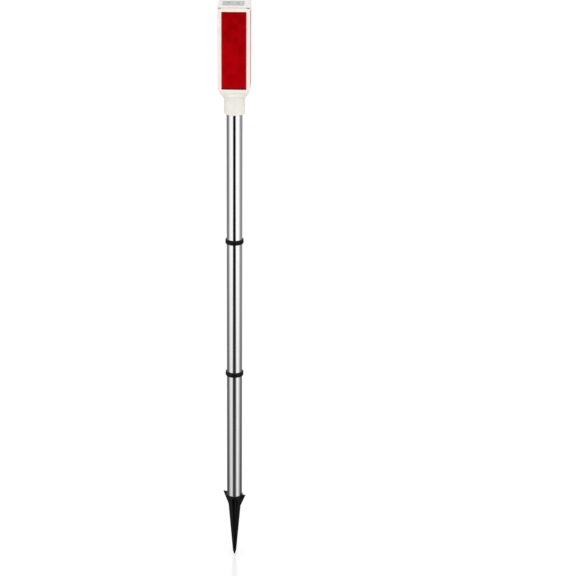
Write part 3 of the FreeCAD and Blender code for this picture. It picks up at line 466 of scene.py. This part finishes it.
def refined(node, body, material, width):
    """Stands for a CAD node: its shape with flat faces merged and every sharp edge rounded by width."""
    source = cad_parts[node].data
    bm = bmesh.new()
    bm.from_mesh(source)
    bmesh.ops.remove_doubles(bm, verts=bm.verts, dist=SAME_POINT)
    bmesh.ops.dissolve_limit(bm, angle_limit=FLAT, verts=bm.verts, edges=bm.edges)
    for layer in (bm.loops.layers.uv, bm.loops.layers.color):
        for item in list(layer.values()):
            layer.remove(item)
    piece = new_piece(f"{node}_finished", bm, material, body)
    for name in [item.name for item in piece.data.attributes if item.name == "custom_normal"]:
        piece.data.attributes.remove(piece.data.attributes[name])
    for face in piece.data.polygons:
        face.material_index = 0
    bevel = piece.modifiers.new("edges", "BEVEL")
    bevel.width = width
    bevel.segments = ROUNDING_STEPS
    bevel.limit_method = "ANGLE"
    bevel.angle_limit = SHARP
    bevel.harden_normals = True
    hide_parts(node)
    return piece


def paint(material, *nodes):
    """A carried-over CAD node gets a procedural material."""
    for node in nodes:
        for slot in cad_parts[node].material_slots:
            slot.material = material


# ---------------------------------------------------------------- pole

TUBE_WALL = 0.6 * MM
TUBE_LIP = 0.18 * MM         # rounding of a tube's ends
TUBE_BANDS = 24              # bands along a tube, which keep its straight sides shaded straight


def make_tube(node, body, material):
    """A tube with slightly rounded ends, turned finely enough to mirror its surroundings cleanly."""
    low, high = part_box(node)
    outer, inner = high.x, high.x - TUBE_WALL
    profile = quarter_round((outer - TUBE_LIP, low.z + TUBE_LIP), TUBE_LIP, 270)
    start, end = low.z + 2 * TUBE_LIP, high.z - 2 * TUBE_LIP
    profile += [(outer, start + (end - start) * band / TUBE_BANDS) for band in range(TUBE_BANDS + 1)]
    profile += quarter_round((outer - TUBE_LIP, high.z - TUBE_LIP), TUBE_LIP, 0)
    profile += [(inner, high.z), (inner, low.z)]
    bm = bmesh.new()
    lathe(bm, profile)
    piece = new_piece(f"{node}_polished", bm, material, body)
    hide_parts(node)


# ---------------------------------------------------------------- reflectors

PRISM = 1.7 * MM             # spacing of the prism lattice
PRISM_DEPTH = 0.16 * MM
PRISM_BASE = 0.4 * MM        # how far in front of the panel's back the slab of prisms begins
RIM_WIDTH = 1.3 * MM
RIM_HEIGHT = 0.3 * MM        # how far the rim stands out over the prisms
RIM_FOOT = 0.1 * MM          # how far the rim's inner side goes on below the deepest prism
EDGE_ROUND = 0.25 * MM
PANEL_CORNER = 1.1 * MM
FIELD_CORNER = 0.4 * MM
HIDDEN = 0.05 * MM           # how far the slab of prisms goes on under the rim
ON_THE_SIDE = 1e-6           # metres within which a panel's limit is its half width
FIELD, RIM = 0, 1            # the panel's two materials


def rounded_loop(half_width, low, high, corner, steps=6):
    """Points of a rounded rectangle in the panel's plane, counterclockwise."""
    right, left = half_width - corner, corner - half_width
    upper, lower = high - corner, low + corner
    points = []
    for number, centre in enumerate(((right, upper), (left, upper), (left, lower), (right, lower))):
        points += quarter_round(centre, corner, 90 * number, steps)
    return points


def stack(bm, loops, place, material_index):
    """A closed solid through loops of points, each a list of (across, up) and a depth."""
    rings = [[bm.verts.new(place(across, up, depth)) for across, up in points] for points, depth in loops]
    faces = [bm.faces.new(rings[0]), bm.faces.new(rings[-1])]
    for ring, following in zip(rings, rings[1:]):
        for spot in range(len(ring)):
            faces.append(bm.faces.new((ring[spot - 1], ring[spot], following[spot], following[spot - 1])))
    for face in faces:
        face.material_index = material_index


def prism_field(bm, half_width, low, high, back, top, place):
    """A slab whose front is a lattice of cube corners, as in a moulded reflector."""
    row_height = PRISM * math.sqrt(3) / 2
    columns = int(2 * half_width / PRISM)
    rows = int((high - low) / row_height)
    step_x, step_z = 2 * half_width / columns, (high - low) / rows
    grid = []
    for row in range(rows + 1):
        shift = 0.5 if row % 2 else 0.0
        line = []
        for column in range(columns + 1):
            across = -half_width + (column + shift) * step_x
            if column in (0, columns):
                across = math.copysign(half_width, across)
            kind = (column - row // 2 + 2 * (row % 2)) % 3
            line.append(bm.verts.new(place(across, low + row * step_z, top - kind * PRISM_DEPTH / 2)))
        grid.append(line)
    faces = []
    for row in range(rows):
        lower, upper = grid[row], grid[row + 1]
        for column in range(columns):
            a, b, c, d = lower[column], lower[column + 1], upper[column + 1], upper[column]
            triangles = ((a, b, d), (b, c, d)) if row % 2 == 0 else ((a, b, c), (a, c, d))
            faces += [bm.faces.new(corners) for corners in triangles]
    for face in faces:
        face.material_index = FIELD
    edge = grid[0] + [line[-1] for line in grid[1:]] + grid[-1][-2::-1] + [line[0] for line in grid[-2:0:-1]]
    base = [bm.verts.new(place.flatten(vert.co, back)) for vert in edge]
    for number in range(len(edge)):
        bm.faces.new((edge[number - 1], edge[number], base[number], base[number - 1])).material_index = RIM
    bm.faces.new(base).material_index = RIM


class Panel:
    """Places points of a panel that lies against one side of the head."""

    def __init__(self, turn):
        self.matrix = Matrix.Rotation(turn, 4, "Z")

    def __call__(self, across, up, out):
        """The place of a point this far across and up the panel, and this far out from the pole's axis."""
        return self.matrix @ Vector((across, -out, up))

    def flatten(self, spot, out):
        """The same place, moved to this distance from the axis."""
        local = self.matrix.inverted() @ spot
        return self.matrix @ Vector((local.x, -out, local.z))


def make_reflector(node, turn, materials):
    """A panel with a rounded, welded rim round a field of prisms."""
    low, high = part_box(node)
    half_width = max(high.x - low.x, high.y - low.y) / 2
    reach = [abs(value) for value in (low.x, high.x, low.y, high.y)]
    out = max(value for value in reach if abs(value - half_width) > ON_THE_SIDE)
    back = out - min(high.x - low.x, high.y - low.y)
    field = out - RIM_HEIGHT
    place = Panel(turn)
    outline = rounded_loop(half_width, low.z, high.z, PANEL_CORNER)
    loops = [(outline, back), (outline, out - EDGE_ROUND)]
    for across, up in quarter_round((0, 0), EDGE_ROUND, 0, 4)[1:]:
        inset = EDGE_ROUND - across
        loops.append((rounded_loop(half_width - inset, low.z + inset, high.z - inset, PANEL_CORNER - inset),
                      out - EDGE_ROUND + up))
    inner = RIM_WIDTH - EDGE_ROUND
    for across, up in reversed(quarter_round((0, 0), EDGE_ROUND, 0, 4)):
        inset = inner + across
        loops.append((rounded_loop(half_width - inset, low.z + inset, high.z - inset, FIELD_CORNER),
                      out - EDGE_ROUND + up))
    loops.append((rounded_loop(half_width - RIM_WIDTH, low.z + RIM_WIDTH, high.z - RIM_WIDTH, FIELD_CORNER),
                  field - PRISM_DEPTH - RIM_FOOT))
    bm = bmesh.new()
    stack(bm, loops, place, RIM)
    rim = RIM_WIDTH - HIDDEN
    prism_field(bm, half_width - rim, low.z + rim, high.z - rim, back + PRISM_BASE, field, place)
    piece = new_piece(f"{node}_prismatic", bm, materials, "head", smooth_angle=12)
    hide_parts(node)


# ---------------------------------------------------------------- solar panel

BUSBARS = 2
FINGERS = 14
BUSBAR_HALF = 0.5 * MM       # half a busbar's width
FINGER_HALF = 0.07 * MM
INK_HEIGHT = 0.05 * MM
INK_MARGIN = 0.8 * MM        # bare silicon along the cell's edges


def add_box(bm, low, high, material_index=0):
    """An axis-aligned block between two corners."""
    made = bmesh.ops.create_cube(bm, size=1)
    size, middle = high - low, (high + low) / 2
    for vert in made["verts"]:
        vert.co = Vector((vert.co.x * size.x, vert.co.y * size.y, vert.co.z * size.z)) + middle
    for face in {face for vert in made["verts"] for face in vert.link_faces}:
        face.material_index = material_index


def make_solar_cell(materials):
    """The silicon plate with its printed busbars and fine fingers."""
    low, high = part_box("solar_cell")
    plate_top = high.z - INK_HEIGHT
    bm = bmesh.new()
    add_box(bm, low, Vector((high.x, high.y, plate_top)))
    width, depth = high.x - low.x, high.y - low.y
    for number in range(BUSBARS):
        middle = low.x + width * (number + 0.5) / BUSBARS
        add_box(bm, Vector((middle - BUSBAR_HALF, low.y + INK_MARGIN, plate_top - INK_HEIGHT)),
                Vector((middle + BUSBAR_HALF, high.y - INK_MARGIN, high.z)), 1)
    for number in range(FINGERS):
        middle = low.y + INK_MARGIN + (depth - 2 * INK_MARGIN) * (number + 0.5) / FINGERS
        add_box(bm, Vector((low.x + INK_MARGIN, middle - FINGER_HALF, plate_top - INK_HEIGHT)),
                Vector((high.x - INK_MARGIN, middle + FINGER_HALF, high.z - INK_HEIGHT / 2)), 1)
    piece = new_piece("solar_cell_printed", bm, materials, "cap_module")
    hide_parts("solar_cell")


# ---------------------------------------------------------------- build

PLINTH_RADIUS = 22.3 * MM    # the round foot under the housing, which has the collar's colour
PLINTH_MARGIN = 0.2 * MM     # how far above the collar's top the middles of its faces are at most
SPIKE_EDGE, HOUSING_EDGE, CAP_EDGE = 0.45 * MM, 0.35 * MM, 0.25 * MM

make_camera()
make_world()
make_light("key", azimuth=20, elevation=30, power=7)
make_light("fill", azimuth=-50, elevation=30, power=2)
make_floor()

white = moulded("white_plastic", (0.92, 0.82, 0.76), 0.32, 0.25,
                Subsurface_Weight=0.15, Subsurface_Scale=0.002)
cream = moulded("collar_plastic", (0.84, 0.82, 0.75), 0.38, 0.3,
                Subsurface_Weight=0.3, Subsurface_Scale=0.003)
cap_white = moulded("cap_plastic", (0.84, 0.83, 0.81), 0.36, 0.3,
                    Subsurface_Weight=0.1, Subsurface_Scale=0.002)
black = moulded("black_plastic", (0.003, 0.003, 0.0034), 0.38, 0.35, variation=0.3, Specular_IOR_Level=0.18)
rubber = moulded("seal_rubber", (0.03, 0.03, 0.032), 0.6, 0.5, variation=0.2)
steel = polished_metal()
plated = plated_metal()

for tube, body_name in (("pole_lower", "lower_section"), ("pole_middle", "middle_section"),
                        ("pole_upper", "upper_section")):
    make_tube(tube, body_name, steel)
paint(black, "coupler_lower", "coupler_upper", "battery_holder")
refined("ground_spike", "spike", black, SPIKE_EDGE)
housing = refined("head_housing", "head", white, HOUSING_EDGE)
housing.data.materials.append(cream)
plinth_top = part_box("neck_collar")[1].z + PLINTH_MARGIN
for face in housing.data.polygons:
    across = math.hypot(face.center.x, face.center.y)
    if face.center.z < plinth_top and across < PLINTH_RADIUS:
        face.material_index = 1
refined("top_cap", "cap_module", cap_white, CAP_EDGE)
paint(cream, "neck_collar")
paint(rubber, "cap_gasket")
reflector_materials = [red_reflector(), rim_material()]
for number, side in enumerate(("front", "right", "back", "left")):
    make_reflector(f"reflector_{side}", number * math.pi / 2, reflector_materials)
make_solar_cell([solar_silicon(), print_ink()])
paint(clear_plastic(), "cell_cover")
paint(moulded("tray_plastic", (0.78, 0.77, 0.74), 0.4, 0.3), "inner_tray")
paint(circuit_material(), "circuit_board")
paint(moulded("component_black", (0.02, 0.02, 0.022), 0.4, 0.4, variation=0.2), "circuit_components",
      "switch_body", "switch_knob")
paint(lamp_plastic(), "leds")
paint(plated, "tray_screws", "board_screws", "battery_contact", "battery_spring")
paint(battery_wrap(), "battery")
paint(moulded("lead_insulation", (0.4, 0.012, 0.012), 0.35, 0.2), "solar_leads", "battery_leads")

bpy.context.scene.view_settings.view_transform = "Standard"
